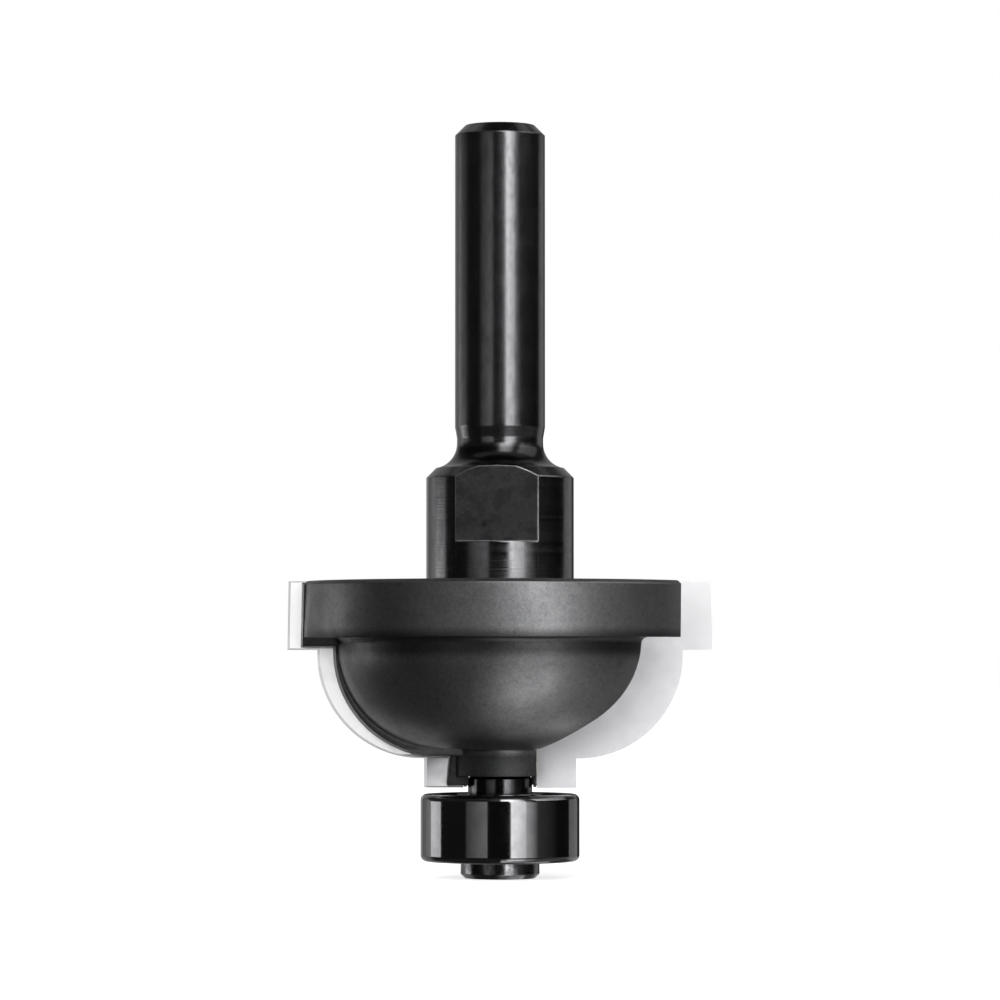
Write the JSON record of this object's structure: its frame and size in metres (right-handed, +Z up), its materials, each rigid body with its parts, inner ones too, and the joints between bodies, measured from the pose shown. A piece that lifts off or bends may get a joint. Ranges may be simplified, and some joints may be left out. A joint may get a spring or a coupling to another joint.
{
  "type": "router bit",
  "caption": "Bearing-guided cove router bit: straight shank and collar, round chip-limiting head with brazed carbide tips, guide bearing held by a socket screw.",
  "frame": {"origin": "centre of the retaining screw's underside, the lowest point of the bit", "axes": "+Z up the tool's axis towards the shank's end; +X through the first tooth, whose cutting face looks towards -Y"},
  "size_m": [0.0378, 0.0352, 0.0668],
  "materials": {
    "tool_steel": "blasted head, polished collar and shank",
    "carbide": "ground tungsten carbide, fine satin",
    "spacer_steel": "turned and polished",
    "bearing_steel": "ground and polished",
    "ball_steel": "lapped mirror finish",
    "cage_steel": "pressed strip, satin",
    "shield_steel": "pressed, satin",
    "snap_steel": "spring steel, satin",
    "screw_steel": "polished, dark"
  },
  "bodies": {
    "bit": {"body": "tool_steel", "carbide_tip_1": "carbide", "carbide_tip_2": "carbide", "bearing_spacer": "spacer_steel", "inner_ring": "bearing_steel", "retaining_screw": "screw_steel"},
    "bearing_outer": {"outer_ring": "bearing_steel", "shield_upper": "shield_steel", "shield_lower": "shield_steel", "snap_ring_upper": "snap_steel", "snap_ring_lower": "snap_steel"},
    "ball_cage": {"cage_upper": "cage_steel", "cage_lower": "cage_steel", "cage_rivets": "cage_steel"},
    "ball_1": {"ball_1": "ball_steel"},
    "ball_2": {"ball_2": "ball_steel"},
    "ball_3": {"ball_3": "ball_steel"},
    "ball_4": {"ball_4": "ball_steel"},
    "ball_5": {"ball_5": "ball_steel"},
    "ball_6": {"ball_6": "ball_steel"},
    "ball_7": {"ball_7": "ball_steel"}
  },
  "joints": [
    {"name": "bearing_spin", "type": "hinge", "parent": "bit", "child": "bearing_outer", "pos_m": [0, 0, 0.00447], "axis": [0, 0, 1], "continuous": true},
    {"name": "cage_orbit", "type": "hinge", "parent": "bit", "child": "ball_cage", "pos_m": [0, 0, 0.00447], "axis": [0, 0, 1], "continuous": true},
    {"name": "ball_1_roll", "type": "hinge", "parent": "ball_cage", "child": "ball_1", "pos_m": [0.00294, 0.00369, 0.00447], "axis": [0, 0, 1], "continuous": true},
    {"name": "ball_2_roll", "type": "hinge", "parent": "ball_cage", "child": "ball_2", "pos_m": [-0.00105, 0.0046, 0.00447], "axis": [0, 0, 1], "continuous": true},
    {"name": "ball_3_roll", "type": "hinge", "parent": "ball_cage", "child": "ball_3", "pos_m": [-0.00425, 0.00205, 0.00447], "axis": [0, 0, 1], "continuous": true},
    {"name": "ball_4_roll", "type": "hinge", "parent": "ball_cage", "child": "ball_4", "pos_m": [-0.00425, -0.00205, 0.00447], "axis": [0, 0, 1], "continuous": true},
    {"name": "ball_5_roll", "type": "hinge", "parent": "ball_cage", "child": "ball_5", "pos_m": [-0.00105, -0.0046, 0.00447], "axis": [0, 0, 1], "continuous": true},
    {"name": "ball_6_roll", "type": "hinge", "parent": "ball_cage", "child": "ball_6", "pos_m": [0.00294, -0.00369, 0.00447], "axis": [0, 0, 1], "continuous": true},
    {"name": "ball_7_roll", "type": "hinge", "parent": "ball_cage", "child": "ball_7", "pos_m": [0.00471, 0, 0.00447], "axis": [0, 0, 1], "continuous": true}
  ],
  "couplings": [
    {"joint": "cage_orbit", "follows": "bearing_spin", "ratio": 0.62619},
    {"joint": "ball_1_roll", "follows": "bearing_spin", "ratio": 1.8549},
    {"joint": "ball_2_roll", "follows": "bearing_spin", "ratio": 1.8549},
    {"joint": "ball_3_roll", "follows": "bearing_spin", "ratio": 1.8549},
    {"joint": "ball_4_roll", "follows": "bearing_spin", "ratio": 1.8549},
    {"joint": "ball_5_roll", "follows": "bearing_spin", "ratio": 1.8549},
    {"joint": "ball_6_roll", "follows": "bearing_spin", "ratio": 1.8549},
    {"joint": "ball_7_roll", "follows": "bearing_spin", "ratio": 1.8549}
  ]
}
